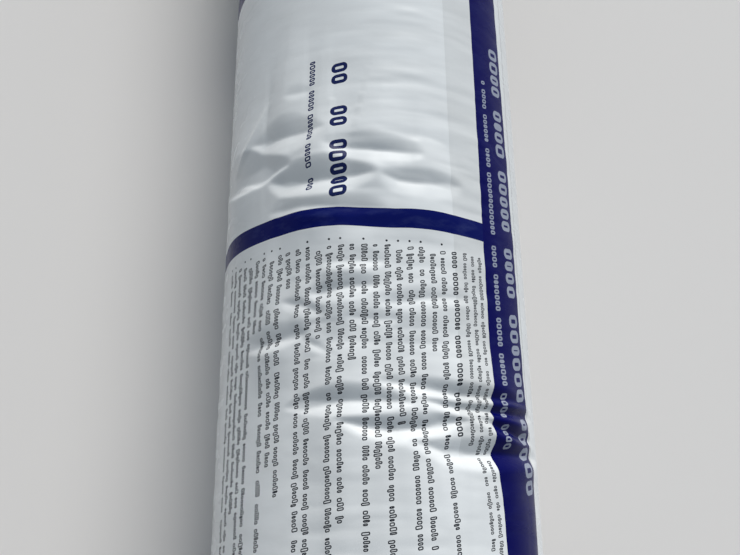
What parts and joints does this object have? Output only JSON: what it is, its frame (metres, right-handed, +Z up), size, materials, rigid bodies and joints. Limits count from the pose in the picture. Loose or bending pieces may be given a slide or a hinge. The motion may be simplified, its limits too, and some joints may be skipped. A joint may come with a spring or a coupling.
{
  "type": "roofing underlayment roll",
  "caption": "Wound roll of synthetic roofing underlayment on a paperboard core, lying on its side, with a printed film sleeve round its middle.",
  "frame": {"origin": "on the floor under the middle of the roll, midway between its two ends", "axes": "+Y along the roll's axis, towards the end at the top of the picture; +X to the picture's right; +Z up"},
  "size_m": [0.1523, 1.2226, 0.1524],
  "materials": {
    "underlayment": "matt non-woven facing with a fine speckle",
    "paperboard": "raw spiral-wound board",
    "film": "glossy white film with blue bands"
  },
  "bodies": {
    "root": {"underlayment_coil": "underlayment", "core_tube": "paperboard", "wrapper_film": "film"}
  },
  "joints": []
}
